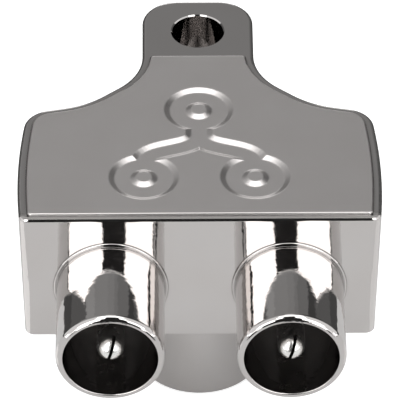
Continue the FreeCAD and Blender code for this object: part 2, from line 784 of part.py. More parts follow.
def winding(sign):
    """Enamelled wire wound on one side of the ring, with both its ends down on the board."""
    clear = size["wire_clear"]
    outer = core_outside / 2 + clear
    inner = core_bore / 2 - clear
    reach = size["core_thick"] / 2 + clear
    middle = V(0, front + size["core_at"], board_top + core_outside / 2)

    def at(radius, angle, depth):
        return middle + V(sign * radius * math.cos(angle), depth, radius * math.sin(angle))

    first = -math.radians(size["wire_span"] * size["wire_turns"] / 2)
    step = math.radians(size["wire_span"])
    foot = at(outer, first, -reach)
    route = [V(foot.x, foot.y, board_top), foot]
    for turn in range(size["wire_turns"]):
        angle = first + turn * step
        route += [at(inner, angle, -reach), at(inner, angle, reach),
                  at(outer, angle, reach), at(outer, angle + step, -reach)]
    top = route[-1]
    side = V(middle.x + sign * (outer + 2 * clear), top.y, top.z)
    route += [side, V(side.x, side.y, board_top)]
    path = Part.Wire([Part.LineSegment(a, b).toShape() for a, b in zip(route, route[1:])])
    section = Part.Wire([Part.Circle(route[0], UP, size["wire"] / 2).toShape()])
    return path.makePipeShell([section], True, False, 1)


for label, sign in (("input_winding", -1), ("output_winding", 1)):
    coil = doc.addObject("Part::Feature", label + "_wire")
    coil.Shape = winding(sign)
    keep(label, coil)

# The isolation resistor lies between its two bent leads, and the disc capacitor stands on
# its own. Their leads end on the board.


def lead(name, x, y, z, height):
    return cylinder(name, x, y, z, "Sizes.lead / 2", height)


RESISTOR_Y = f"({FRONT} + Sizes.resistor_at)"
resistor_body = turned("resistor_turned", [
    ("0", "-Sizes.resistor_span / 2"),
    ("Sizes.lead / 2", "-Sizes.resistor_span / 2"),
    ("Sizes.lead / 2", "-Sizes.resistor_length / 2"),
    ("Sizes.resistor_end_cap / 2", "-Sizes.resistor_length / 2"),
    ("Sizes.resistor_end_cap / 2", "-Sizes.resistor_length / 2 + Sizes.resistor_cap_length"),
    ("Sizes.resistor_body / 2", "-Sizes.resistor_length / 2 + Sizes.resistor_cap_length"),
    ("Sizes.resistor_body / 2", "Sizes.resistor_length / 2 - Sizes.resistor_cap_length"),
    ("Sizes.resistor_end_cap / 2", "Sizes.resistor_length / 2 - Sizes.resistor_cap_length"),
    ("Sizes.resistor_end_cap / 2", "Sizes.resistor_length / 2"),
    ("Sizes.lead / 2", "Sizes.resistor_length / 2"),
    ("Sizes.lead / 2", "Sizes.resistor_span / 2"),
    ("0", "Sizes.resistor_span / 2"),
])
resistor_body.Placement.Rotation = FORWARD
move(resistor_body, "Sizes.resistor_across", RESISTOR_Y, f"{BOARD_TOP} + Sizes.resistor_rise")
legs = [lead(f"resistor_leg_{sign + 1}", "Sizes.resistor_across",
             f"{RESISTOR_Y} + {sign} * (Sizes.resistor_span / 2 - Sizes.lead / 2)",
             BOARD_TOP, "Sizes.resistor_rise") for sign in (-1, 1)]
keep("isolation_resistor", fuse("resistor", [resistor_body] + legs))

capacitor_disc = doc.addObject("Part::Cylinder", "capacitor_disc")
bind(capacitor_disc, Radius="Sizes.capacitor_body / 2", Height="Sizes.capacitor_thick")
capacitor_disc.Placement.Rotation = FORWARD
CAPACITOR_Y = f"({FRONT} + Sizes.capacitor_at)"
move(capacitor_disc, "-Sizes.capacitor_across", f"{CAPACITOR_Y} + Sizes.capacitor_thick / 2",
     f"{BOARD_TOP} + Sizes.capacitor_rise + Sizes.capacitor_body / 2")
soft_disc = soften("capacitor_soft", capacitor_disc, size["capacitor_thick"] / 3,
                   lambda edge: isinstance(edge.Curve, Part.Circle), "Part::Chamfer")
legs = [lead(f"capacitor_leg_{sign + 1}",
             f"-Sizes.capacitor_across + {sign} * Sizes.capacitor_pitch / 2",
             CAPACITOR_Y, BOARD_TOP, "Sizes.capacitor_rise + Sizes.capacitor_body / 2")
        for sign in (-1, 1)]
keep("matching_capacitor", fuse("capacitor", [soft_disc] + legs))

# Every object has to be sound before any file is written.

doc.recompute()
for item in doc.Objects:
    if "Invalid" in item.State or "Error" in item.State:
        raise SystemExit(f"{item.Name} failed: {item.State}")
for label, piece in nodes.items():
    if piece.Shape.isNull() or not piece.Shape.isValid() or not piece.Shape.Solids:
        raise SystemExit(f"{label} has no sound shape")
for label, piece in nodes.items():
    piece.Shape.exportStep(f"parts/{label}.step")
    print(label, round(piece.Shape.Volume, 2), len(piece.Shape.Solids))
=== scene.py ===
import math
from collections import Counter

import bmesh
import bpy
import numpy as np
from mathutils import Matrix, Vector


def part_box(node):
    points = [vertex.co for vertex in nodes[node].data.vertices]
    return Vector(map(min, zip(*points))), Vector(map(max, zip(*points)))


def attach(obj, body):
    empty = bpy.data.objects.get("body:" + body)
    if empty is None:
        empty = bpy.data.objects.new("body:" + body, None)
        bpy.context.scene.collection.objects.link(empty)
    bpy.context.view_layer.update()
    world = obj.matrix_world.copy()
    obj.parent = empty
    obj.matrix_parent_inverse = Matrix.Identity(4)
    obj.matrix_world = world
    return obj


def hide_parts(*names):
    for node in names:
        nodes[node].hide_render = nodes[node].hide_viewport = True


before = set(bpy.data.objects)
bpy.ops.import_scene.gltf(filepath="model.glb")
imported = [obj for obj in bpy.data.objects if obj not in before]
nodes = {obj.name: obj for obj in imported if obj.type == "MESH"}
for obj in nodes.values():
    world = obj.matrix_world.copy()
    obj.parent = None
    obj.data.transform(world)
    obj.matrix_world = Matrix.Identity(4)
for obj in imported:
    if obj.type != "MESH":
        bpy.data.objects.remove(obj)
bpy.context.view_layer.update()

# The housing is a zinc die casting with a tab for a ring, tumbled and plated with bright nickel.
# The plating keeps the soft waves of the casting and a few fine pits, and its inner corners have
# painted shade. The ledge in front of the cover was blasted, so it is rough and grey, and it has
# painted light beside the cover.

MM = 0.001
NICKEL = (0.606, 0.586, 0.577)
NICKEL_WARM = (0.588, 0.564, 0.551)
NICKEL_ROUGH = (0.03, 0.07)
CAST_CLOUD = 6 * MM
CAST_SMEAR = 1.1 * MM
CAST_WAVE = 2.2 * MM
CAST_WAVE_DEPTH = 0.008 * MM
CAST_PIT = 0.12 * MM
CAST_PIT_DEPTH = 0.0006 * MM
# Painted shade for inner corners: its colour, how far the occlusion looks, and how open a corner
# must be to escape it.
CORNER_SHADE_COLOUR = (0.16, 0.15, 0.145)
CORNER_SHADE_REACH = 0.35 * MM
CORNER_SHADE_OPENNESS = (0.45, 0.9)
LEDGE_HEIGHT = (22.60 * MM, 22.64 * MM)
LEDGE_FRONT = (-7.3 * MM, -7.1 * MM)
LEDGE_INNER = (-7.75 * MM, -7.62 * MM)
LEDGE_GREY = (0.17, 0.163, 0.158)
LEDGE_PAINTED_LIGHT = (0.40, 0.385, 0.375)
LEDGE_ROUGH = 0.36
LEDGE_GRAIN = 0.3 * MM
LEDGE_GRAIN_DEPTH = 0.004 * MM
NOISE_SPAN = (0.3, 0.7)


class Finish:
    """A node material round one Principled shader, with short calls for its texture."""

    def __init__(self, name, colour, metallic, rough):
        self.material = bpy.data.materials.new(name)
        self.material.use_nodes = True
        self.tree = self.material.node_tree
        self.shader = self.tree.nodes["Principled BSDF"]
        self.set("Base Color", (*colour, 1))
        self.set("Metallic", metallic)
        self.set("Roughness", rough)
        self.place = self.add("ShaderNodeTexCoord").outputs["Object"]
        self.colour = colour
        self.relief = None

    def set(self, socket, value):
        self.shader.inputs[socket].default_value = value

    def add(self, kind, **settings):
        node = self.tree.nodes.new(kind)
        for key, value in settings.items():
            setattr(node, key, value)
        return node

    def join(self, source, target):
        self.tree.links.new(source, target)

    def axes(self):
        """The place on the piece, as a number along each axis."""
        node = self.add("ShaderNodeSeparateXYZ")
        self.join(self.place, node.inputs[0])
        return node.outputs

    def noise(self, width, detail=2.0):
        """Noise whose features are about this wide."""
        node = self.add("ShaderNodeTexNoise")
        node.inputs["Scale"].default_value = 1 / width
        node.inputs["Detail"].default_value = detail
        self.join(self.place, node.inputs["Vector"])
        return node.outputs["Fac"]

    def rings(self, axis, width):
        """Noise that changes along one axis only, as tool marks on a turned piece do."""
        node = self.add("ShaderNodeTexNoise", noise_dimensions="1D")
        node.inputs["Scale"].default_value = 1 / width
        self.join(self.axes()[axis], node.inputs["W"])
        return node.outputs["Fac"]

    def ramp(self, source, start, end, low, high):
        """A number that runs from low to high while the source runs from start to end."""
        node = self.add("ShaderNodeMapRange")
        for key, value in (("From Min", start), ("From Max", end), ("To Min", low),
                           ("To Max", high)):
            node.inputs[key].default_value = value
        self.join(source, node.inputs["Value"])
        return node.outputs["Result"]

    def maths(self, operation, *sources):
        """A number worked out from one or two others."""
        node = self.add("ShaderNodeMath", operation=operation)
        for source, target in zip(sources, node.inputs):
            self.join(source, target)
        return node.outputs[0]

    def mix(self, share, one, other):
        """A colour between two, each given as plain numbers or as a socket."""
        node = self.add("ShaderNodeMix", data_type="RGBA")
        self.join(share, node.inputs["Factor"])
        for key, colour in (("A", one), ("B", other)):
            if isinstance(colour, tuple):
                node.inputs[key].default_value = (*colour, 1)
            else:
                self.join(colour, node.inputs[key])
        return node.outputs["Result"]

    def paint(self, colour):
        """Make a colour socket the base colour."""
        self.join(colour, self.shader.inputs["Base Color"])
        self.colour = colour

    def blend(self, pattern, one, other):
        """Let a pattern mix two base colours."""
        node = self.add("ShaderNodeValToRGB")
        for stop, position, colour in zip(node.color_ramp.elements, NOISE_SPAN, (one, other)):
            stop.position = position
            stop.color = (*colour, 1)
        self.join(pattern, node.inputs["Fac"])
        self.paint(node.outputs["Color"])

    def vary(self, socket, pattern, low, high):
        """Let a pattern move a number of the shader between two values."""
        self.join(self.ramp(pattern, *NOISE_SPAN, low, high), self.shader.inputs[socket])

    def paint_corner_shade(self, reach, dark):
        """Paint shade into the colour in inner corners, found by ambient occlusion."""
        corner = self.add("ShaderNodeAmbientOcclusion", samples=8)
        corner.inputs["Distance"].default_value = reach
        self.paint(self.mix(self.ramp(corner.outputs["AO"], *CORNER_SHADE_OPENNESS, 0, 1), dark,
                            self.colour))

    def emboss(self, pattern, depth):
        """Add a pattern of this depth to the bumps of the surface."""
        node = self.add("ShaderNodeBump")
        node.inputs["Distance"].default_value = depth
        self.join(pattern, node.inputs["Height"])
        if self.relief is not None:
            self.join(self.relief, node.inputs["Normal"])
        self.relief = node.outputs["Normal"]
        self.join(self.relief, self.shader.inputs["Normal"])


def dress(piece, finish):
    piece.data.materials.clear()
    piece.data.materials.append(finish.material)


casting = Finish("nickel_on_casting", NICKEL, 1, NICKEL_ROUGH[0])
casting.blend(casting.noise(CAST_CLOUD), NICKEL_WARM, NICKEL)
# Painted shade: the casting's colour darkens in its inner corners.
casting.paint_corner_shade(CORNER_SHADE_REACH, CORNER_SHADE_COLOUR)
casting.emboss(casting.noise(CAST_WAVE, detail=3), CAST_WAVE_DEPTH)
casting.emboss(casting.noise(CAST_PIT, detail=3), CAST_PIT_DEPTH)
cast_axes = casting.axes()
blasted = casting.maths("MULTIPLY", casting.ramp(cast_axes["Z"], *LEDGE_HEIGHT, 0, 1),
                        casting.ramp(cast_axes["Y"], *LEDGE_FRONT, 1, 0))
# Painted light: the grey ledge turns lighter beside the cover, so the groove there reads
# brighter.
inner = casting.ramp(cast_axes["Y"], *LEDGE_INNER, 0, 1)
ledge_grey_and_painted_light = casting.mix(inner, LEDGE_GREY, LEDGE_PAINTED_LIGHT)
casting.paint(casting.mix(blasted, casting.colour, ledge_grey_and_painted_light))
smear = casting.ramp(casting.noise(CAST_SMEAR, detail=4), *NOISE_SPAN, *NICKEL_ROUGH)
rougher = casting.maths("MAXIMUM", smear, casting.ramp(blasted, 0, 1, 0, LEDGE_ROUGH))
casting.join(rougher, casting.shader.inputs["Roughness"])
ledge_grain = casting.maths("MULTIPLY", casting.noise(LEDGE_GRAIN, detail=3), blasted)
casting.emboss(ledge_grain, LEDGE_GRAIN_DEPTH)
dress(nodes["housing"], casting)

# The socket's sleeve is turned brass with a rolled mouth, plated with bright nickel, and it
# is pressed up into the housing's floor. Turning leaves fine rings round it.

SLEEVE_MOUTH_ROUND = 0.5 * MM
SLEEVE_LIP_BORE = 9.9 * MM
SLEEVE_LIP = 0.7 * MM
SLEEVE_BORE = 10.5 * MM
SLEEVE_SPIGOT = 11.1 * MM
UNDERSIDE = 9.28 * MM
SMALL_EDGE = 0.06 * MM
HOLD = 0.02 * MM
SLEEVE_SIDES = 192
TURNING_RING = 0.09 * MM
TURNING_DEPTH = 0.00016 * MM
TURNING_CLOUD = 5 * MM
TURNING_SMEAR = 0.9 * MM
TURNING_WAVE = 1.3 * MM
TURNING_WAVE_DEPTH = 0.03 * MM
SHARP_ANGLE = math.radians(35)


def rounded(corners, steps=6):
    """A closed profile whose corners, given as radius, height and rounding, become arcs."""
    points = []
    befores = corners[-1:] + corners[:-1]
    afters = corners[1:] + corners[:1]
    for before, here, after in zip(befores, corners, afters):
        corner = Vector(here[:2])
        if here[2] == 0:
            points.append(tuple(corner))
            continue
        one = (Vector(before[:2]) - corner).normalized()
        other = (Vector(after[:2]) - corner).normalized()
        half = one.angle(other) / 2
        centre = corner + (one + other).normalized() * (here[2] / math.sin(half))
        first = corner + one * (here[2] / math.tan(half)) - centre
        last = corner + other * (here[2] / math.tan(half)) - centre
        start = math.atan2(first.y, first.x)
        turn = (math.atan2(last.y, last.x) - start + math.pi) % (2 * math.pi) - math.pi
        for step in range(steps + 1):
            angle = start + turn * step / steps
            points.append((centre.x + here[2] * math.cos(angle),
                           centre.y + here[2] * math.sin(angle)))
    return points


def show(name, mesh, finish, replaced):
    """Put a mesh into the scene as a piece of the object, in place of a CAD node."""
    mesh.shade_smooth()
    mesh.set_sharp_from_angle(angle=SHARP_ANGLE)
    piece = bpy.data.objects.new(name, mesh)
    bpy.context.scene.collection.objects.link(piece)
    dress(piece, finish)
    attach(piece, "root")
    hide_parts(replaced)


def held(profile):
    """The profile with a point just inside both ends of each straight, so that it shades flat."""
    points = []
    for here, following in zip(profile, profile[1:] + profile[:1]):
        start = Vector(here)
        run = Vector(following) - start
        points.append(here)
        if run.length > 4 * HOLD:
            points.append(tuple(start + run * (HOLD / run.length)))
            points.append(tuple(start + run * (1 - HOLD / run.length)))
    return points


def lathe(name, profile, seat, sides):
    """A mesh turned from a closed profile about its own Z axis and put on its seat."""
    mesh = bpy.data.meshes.new(name)
    work = bmesh.new()
    rings = []
    for radius, height in held(profile):
        rings.append([work.verts.new((radius * math.cos(2 * math.pi * k / sides),
                                      radius * math.sin(2 * math.pi * k / sides), height))
                      for k in range(sides)])
    for ring, following in zip(rings, rings[1:] + rings[:1]):
        for k in range(sides):
            m = (k + 1) % sides
            work.faces.new((ring[k], ring[m], following[m], following[k]))
    bmesh.ops.recalc_face_normals(work, faces=work.faces)
    work.to_mesh(mesh)
    work.free()
    mesh.transform(seat)
    return mesh


def turned_finish(name, axis):
    """Bright nickel over turned brass, with tool marks along the axis that it was turned on, and
    painted shade in inner corners.
    """
    finish = Finish(name, NICKEL, 1, NICKEL_ROUGH[0])
    finish.blend(finish.noise(TURNING_CLOUD), NICKEL_WARM, NICKEL)
    finish.vary("Roughness", finish.noise(TURNING_SMEAR, detail=3), *NICKEL_ROUGH)
    finish.emboss(finish.noise(TURNING_WAVE, detail=5), TURNING_WAVE_DEPTH)
    finish.emboss(finish.rings(axis, TURNING_RING), TURNING_DEPTH)
    # Painted shade: the colour darkens in inner corners, such as round the collars.
    finish.paint_corner_shade(CORNER_SHADE_REACH, CORNER_SHADE_COLOUR)
    return finish


sleeve_low, sleeve_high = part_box("socket_sleeve")
sleeve_radius = (sleeve_high[0] - sleeve_low[0]) / 2
sleeve_mesh = lathe("turned_sleeve", rounded([
    (SLEEVE_LIP_BORE / 2, 0, SMALL_EDGE),
    (sleeve_radius, 0, SLEEVE_MOUTH_ROUND),
    (sleeve_radius, UNDERSIDE, 0),
    (SLEEVE_SPIGOT / 2, UNDERSIDE, 0),
    (SLEEVE_SPIGOT / 2, sleeve_high[2], SMALL_EDGE),
    (SLEEVE_BORE / 2, sleeve_high[2], SMALL_EDGE),
    (SLEEVE_BORE / 2, SLEEVE_LIP, 0),
    (SLEEVE_LIP_BORE / 2, SLEEVE_LIP, SMALL_EDGE),
]), Matrix.Identity(4), SLEEVE_SIDES)
sleeve_finish = turned_finish("nickel_on_sleeve", "Z")
show("turned_sleeve", sleeve_mesh, sleeve_finish, "socket_sleeve")

# The sprung liner is spring bronze, rolled and slotted, with a thin nickel plating that the
# mill's rolling marks show through. The centre contact is turned brass, slotted to grip.

BRONZE = ((0.60, 0.57, 0.50), (0.66, 0.62, 0.54))
BRONZE_ROUGH = (0.16, 0.26)
BRONZE_CLOUD = 2 * MM
BRONZE_SMEAR = 0.6 * MM
ROLLING_MARK = 0.05 * MM
ROLLING_DEPTH = 0.0004 * MM

spring = Finish("nickel_on_bronze", BRONZE[0], 1, BRONZE_ROUGH[0])
spring.blend(spring.noise(BRONZE_CLOUD), *BRONZE)
spring.vary("Roughness", spring.noise(BRONZE_SMEAR, detail=3), *BRONZE_ROUGH)
spring.emboss(spring.rings("X", ROLLING_MARK), ROLLING_DEPTH)
dress(nodes["socket_spring_contact"], spring)

contact = turned_finish("nickel_on_contact", "Z")
dress(nodes["socket_centre_contact"], contact)

# The insulators are black mouldings: a disc in the socket, and one in each plug that
# holds its pin. A moulding's skin is slightly uneven where it cooled.

MOULDED = ((0.018, 0.016, 0.0155), (0.026, 0.023, 0.0225))
MOULDED_ROUGH = (0.45, 0.6)


def mottled(name, colours, metallic, roughness, cloud, smear, grain, grain_depth):
    """A finish with clouds of two colours, smears of two roughnesses and a raised grain.

    Cloud, smear and grain are each the width and the detail of their noise."""
    finish = Finish(name, colours[0], metallic, roughness[0])
    finish.blend(finish.noise(*cloud), *colours)
    finish.vary("Roughness", finish.noise(*smear), *roughness)
    finish.emboss(finish.noise(*grain), grain_depth)
    return finish


moulded = mottled("black_moulding", MOULDED, 0, MOULDED_ROUGH, cloud=(1.5 * MM, 2),
                  smear=(0.5 * MM, 3), grain=(0.25 * MM, 3), grain_depth=0.002 * MM)
for label in ("socket_insulator", "left_plug_insulator", "right_plug_insulator"):
    dress(nodes[label], moulded)

# Each plug's barrel is turned brass plated with bright nickel. A thin collar seats on the
# housing's front, and the rim is rounded outside so that it enters a socket easily.

RIM_ROUND = 0.5 * MM
RIM_EDGE = 0.1 * MM
BARREL = 9.5 * MM
BARREL_WALL = 0.62 * MM
COLLAR_THICK = 0.15 * MM
COLLAR_ROUND = 0.12 * MM
COLLAR_FOOT = 0.03 * MM
SPIGOT = 8.9 * MM
FRONT_FACE = -8.0 * MM
BARREL_SIDES = 256

barrel_finish = turned_finish("nickel_on_barrel", "Y")
for side in ("left", "right"):
    low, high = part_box(f"{side}_plug_shell")
    collar_radius = (high[0] - low[0]) / 2
    reach = FRONT_FACE - low[1]
    spigot_end = FRONT_FACE - high[1]
    seat = (Matrix.Translation(((low[0] + high[0]) / 2, FRONT_FACE, (low[2] + high[2]) / 2))
            @ Matrix.Rotation(math.radians(90), 4, "X"))
    barrel_mesh = lathe(f"{side}_turned_barrel", rounded([
        (BARREL / 2 - BARREL_WALL, spigot_end, 0),
        (SPIGOT / 2, spigot_end, 0),
        (SPIGOT / 2, 0, 0),
        (collar_radius, 0, 0),
        (collar_radius, COLLAR_THICK, COLLAR_ROUND),
        (BARREL / 2, COLLAR_THICK, COLLAR_FOOT),
        (BARREL / 2, reach, RIM_ROUND),
        (BARREL / 2 - BARREL_WALL, reach, RIM_EDGE),
    ]), seat, BARREL_SIDES)
    show(f"{side}_turned_barrel", barrel_mesh, barrel_finish, f"{side}_plug_shell")

# The centre pins are turned brass with a domed tip, sawn across. They are plated with bright
# silver, and the inside of the saw cut is painted near black as shade.

SILVER = (0.87, 0.86, 0.84)
PIN_ROUGH = (0.22, 0.28)
PIN_SMEAR = 0.5 * MM
PIN_SLOT = 0.26 * MM
PIN_SLOT_SLANT = math.radians(16)
PIN_SLOT_DEPTH = 1.2 * MM
SAW_CUT_SHADE = (0.02, 0.018, 0.017)
SAW_SHADE_SIDE_FADE = (0.0052 * MM, 0.0156 * MM)
SAW_SHADE_END_FADE = (0.015 * MM, 0.06 * MM)

for side in ("left", "right"):
    low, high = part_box(f"{side}_centre_pin")
    pin_finish = Finish(f"silver_on_{side}_pin", SILVER, 1, PIN_ROUGH[0])
    pin_finish.vary("Roughness", pin_finish.noise(PIN_SMEAR, detail=3), *PIN_ROUGH)
    pin_finish.emboss(pin_finish.rings("Y", TURNING_RING), TURNING_DEPTH)
    from_axis = pin_finish.add("ShaderNodeVectorMath", operation="SUBTRACT")
    from_axis.inputs[1].default_value = ((low[0] + high[0]) / 2, 0, (low[2] + high[2]) / 2)
    pin_finish.join(pin_finish.place, from_axis.inputs[0])
    off_saw = pin_finish.add("ShaderNodeVectorMath", operation="DOT_PRODUCT")
    off_saw.inputs[1].default_value = (math.cos(PIN_SLOT_SLANT), 0, -math.sin(PIN_SLOT_SLANT))
    pin_finish.join(from_axis.outputs["Vector"], off_saw.inputs[0])
    off_middle = pin_finish.maths("ABSOLUTE", off_saw.outputs["Value"])
    # Painted shade: the saw cut's sides and floor are coloured near black.
    beside = pin_finish.ramp(off_middle, PIN_SLOT / 2 + SAW_SHADE_SIDE_FADE[0],
                             PIN_SLOT / 2 + SAW_SHADE_SIDE_FADE[1], 0, 1)
    saw_end = low[1] + PIN_SLOT_DEPTH
    beyond = pin_finish.ramp(pin_finish.axes()["Y"], saw_end + SAW_SHADE_END_FADE[0],
                             saw_end + SAW_SHADE_END_FADE[1], 0, 1)
    pin_finish.paint(pin_finish.mix(pin_finish.maths("MAXIMUM", beside, beyond), SAW_CUT_SHADE, SILVER))
    dress(nodes[f"{side}_centre_pin"], pin_finish)

# The circuit board is brown phenolic paper with a faint weave of fibres, and it lies on four
# cast posts.

PHENOLIC = ((0.36, 0.17, 0.05), (0.50, 0.28, 0.10))
PHENOLIC_ROUGH = (0.32, 0.5)

board = mottled("phenolic_board", PHENOLIC, 0, PHENOLIC_ROUGH, cloud=(0.5 * MM, 6),
                smear=(0.3 * MM, 3), grain=(0.12 * MM, 4), grain_depth=0.003 * MM)
dress(nodes["circuit_board"], board)

# Soft solder joins the pins' tails and the socket's contact to the board. It sets with a
# bright, slightly frosted skin.

SOLDER = ((0.55, 0.55, 0.56), (0.68, 0.68, 0.70))
SOLDER_ROUGH = (0.18, 0.42)

solder = mottled("soft_solder", SOLDER, 1, SOLDER_ROUGH, cloud=(0.8 * MM, 2),
                 smear=(0.3 * MM, 4), grain=(0.35 * MM, 3), grain_depth=0.01 * MM)
for label in ("left_pin_solder", "right_pin_solder", "socket_contact_solder"):
    dress(nodes[label], solder)

# The splitting transformer is wound on a ring of dark grey ferrite, pressed from powder and
# sintered, so its skin is matt and finely pitted.

FERRITE = ((0.03, 0.03, 0.034), (0.07, 0.07, 0.076))
FERRITE_ROUGH = (0.5, 0.72)

ferrite = mottled("sintered_ferrite", FERRITE, 0, FERRITE_ROUGH, cloud=(0.15 * MM, 4),
                  smear=(0.4 * MM, 3), grain=(0.1 * MM, 4), grain_depth=0.006 * MM)
dress(nodes["ferrite_core"], ferrite)

# Its two windings are copper wire under a clear red-brown enamel, wound through the ring in
# open turns.

ENAMEL = ((0.52, 0.15, 0.055), (0.68, 0.26, 0.10))
ENAMEL_ROUGH = (0.18, 0.3)
ENAMEL_COAT = 0.8
ENAMEL_COAT_ROUGH = 0.08

enamel = mottled("enamelled_copper", ENAMEL, 1, ENAMEL_ROUGH, cloud=(1.2 * MM, 3),
                 smear=(0.5 * MM, 3), grain=(0.3 * MM, 2), grain_depth=0.003 * MM)
enamel.set("Coat Weight", ENAMEL_COAT)
enamel.set("Coat Roughness", ENAMEL_COAT_ROUGH)
for label in ("input_winding", "output_winding"):
    dress(nodes[label], enamel)

# The isolation resistor is a ceramic rod with an end cap at each end, dipped in beige lacquer.
# Plain colour rings are painted round it between the caps.

LACQUER = (0.58, 0.44, 0.26)
LACQUER_ROUGH = (0.24, 0.38)
LACQUER_SMEAR = 0.5 * MM
LACQUER_GRAIN = 0.4 * MM
LACQUER_GRAIN_DEPTH = 0.006 * MM
RINGED_HALF = 2 * MM
RING_WIDTH = 0.3 * MM
RINGS = ((-0.95 * MM, (0.35, 0.02, 0.02)), (-0.35 * MM, (0.30, 0.12, 0.02)),
         (0.25 * MM, (0.02, 0.02, 0.02)), (0.95 * MM, (0.50, 0.32, 0.06)))

resistor = Finish("resistor_lacquer", LACQUER, 0, LACQUER_ROUGH[0])
resistor_low, resistor_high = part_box("isolation_resistor")
resistor_middle = (resistor_low[1] + resistor_high[1]) / 2
ring_paint = resistor.add("ShaderNodeValToRGB")
stops = ring_paint.color_ramp
stops.interpolation = "CONSTANT"
stops.elements[0].color = (*LACQUER, 1)
stops.elements.remove(stops.elements[1])
for middle, colour in RINGS:
    for offset, paint in ((-RING_WIDTH / 2, colour), (RING_WIDTH / 2, LACQUER)):
        share = (middle + offset + RINGED_HALF) / (2 * RINGED_HALF)
        stops.elements.new(share).color = (*paint, 1)
along = resistor.ramp(resistor.axes()["Y"], resistor_middle - RINGED_HALF,
                      resistor_middle + RINGED_HALF, 0, 1)
resistor.join(along, ring_paint.inputs["Fac"])
resistor.paint(ring_paint.outputs["Color"])
resistor.vary("Roughness", resistor.noise(LACQUER_SMEAR, detail=3), *LACQUER_ROUGH)
resistor.emboss(resistor.noise(LACQUER_GRAIN), LACQUER_GRAIN_DEPTH)
dress(nodes["isolation_resistor"], resistor)

# The matching capacitor is a ceramic disc on two leads. It is dipped in an orange coat, which
# dries unevenly.

DIPPED = ((0.52, 0.17, 0.03), (0.66, 0.27, 0.055))
DIPPED_ROUGH = (0.36, 0.55)

dipped = mottled("dipped_coat", DIPPED, 0, DIPPED_ROUGH, cloud=(0.9 * MM, 3),
                 smear=(0.5 * MM, 3), grain=(0.5 * MM, 3), grain_depth=0.012 * MM)
dress(nodes["matching_capacitor"], dipped)

# The cover is a pressed plate, blasted to a soft, even grain and plated with satin nickel. Its
# front edge has painted shade that dulls its highlight, and the cut side below that edge has
# painted light. It is pressed into the step round the top of the housing.

SATIN = (0.700, 0.672, 0.660)
SATIN_WARM = (0.684, 0.654, 0.640)
SATIN_ROUGH = (0.3, 0.31)
SATIN_CLOUD = 4 * MM
SATIN_SMEAR = 2.5 * MM
SATIN_WAVE = 3 * MM
SATIN_WAVE_DEPTH = 0.003 * MM
SATIN_GRAIN = 0.3 * MM
SATIN_GRAIN_DEPTH = 0.003 * MM
SATIN_EDGE_PAINTED_SHADE = (0.50, 0.48, 0.47)
SATIN_SIDE_PAINTED_LIGHT = (0.95, 0.93, 0.92)
COVER_EDGE = (-7.42 * MM, -7.36 * MM)
COVER_SIDE = (22.79 * MM, 22.83 * MM)

satin = Finish("satin_nickel", SATIN, 1, SATIN_ROUGH[0])
satin.blend(satin.noise(SATIN_CLOUD, detail=3), SATIN_WARM, SATIN)
satin.vary("Roughness", satin.noise(SATIN_SMEAR, detail=1), *SATIN_ROUGH)
satin.emboss(satin.noise(SATIN_WAVE), SATIN_WAVE_DEPTH)
satin.emboss(satin.noise(SATIN_GRAIN), SATIN_GRAIN_DEPTH)
satin_axes = satin.axes()
# Painted shade dulls the front edge's highlight, and painted light brightens the cut side below
# it.
above_side = satin.ramp(satin_axes["Z"], *COVER_SIDE, 0, 1)
behind_edge = satin.ramp(satin_axes["Y"], *COVER_EDGE, 0, 1)
satin.paint(satin.mix(behind_edge, satin.mix(above_side, SATIN_SIDE_PAINTED_LIGHT, SATIN_EDGE_PAINTED_SHADE), satin.colour))

# The press also sinks a plain sign into the cover for what the piece does: one ring, and two
# that branch from it. Its slopes are shallow, and it is the same satin metal.

SIGN_DEPTH = 0.22 * MM
SIGN_SLOPE = 0.5 * MM
SIGN_SOFT = 0.12
SIGN_GRID = 0.07 * MM
SIGN_TOP_RING = (0.0, 6.9 * MM)
SIGN_LOW_RING = (4.9 * MM, -2.5 * MM)
SIGN_FORK = (0.0, 3.5 * MM)
SIGN_RING_RADIUS = 1.9 * MM
SIGN_STROKE = 1.9 * MM
SIGN_MARGIN = 1.5 * MM
SIGN_BEND = 0.62
PRESS_LIFT = 0.003 * MM
LEVEL = 0.999999
PRESS_BLOCK = 0.5 * MM


def branch(sign, steps=24):
    """The line from the fork to one of the lower rings, straight down at both its ends."""
    start = Vector(SIGN_FORK)
    end = Vector((sign * SIGN_LOW_RING[0], SIGN_LOW_RING[1] + SIGN_RING_RADIUS))
    drop = (start.y - end.y) * SIGN_BEND
    points = []
    for k in range(steps + 1):
        t = k / steps
        points.append(start * (1 - t) ** 3 + (start - Vector((0, drop))) * (3 * t * (1 - t) ** 2)
                      + (end + Vector((0, drop))) * (3 * t * t * (1 - t)) + end * t ** 3)
    return [tuple(p) for p in points]


def near_line(x, y, points):
    """Distance from each place of a grid to a line of points."""
    nearest = np.full(x.shape, np.inf)
    for (ax, ay), (bx, by) in zip(points, points[1:]):
        along = ((x - ax) * (bx - ax) + (y - ay) * (by - ay)) / ((bx - ax) ** 2 + (by - ay) ** 2)
        along = np.clip(along, 0, 1)
        nearest = np.minimum(nearest, np.hypot(x - ax - along * (bx - ax),
                                               y - ay - along * (by - ay)))
    return nearest


def soft_ramp(t):
    """A straight ramp from 0 to 1 with softened ends."""
    def knee(v):
        return (v + np.sqrt(v * v + SIGN_SOFT ** 2)) / 2
    return np.clip(knee(t) - knee(t - 1), 0, 1)


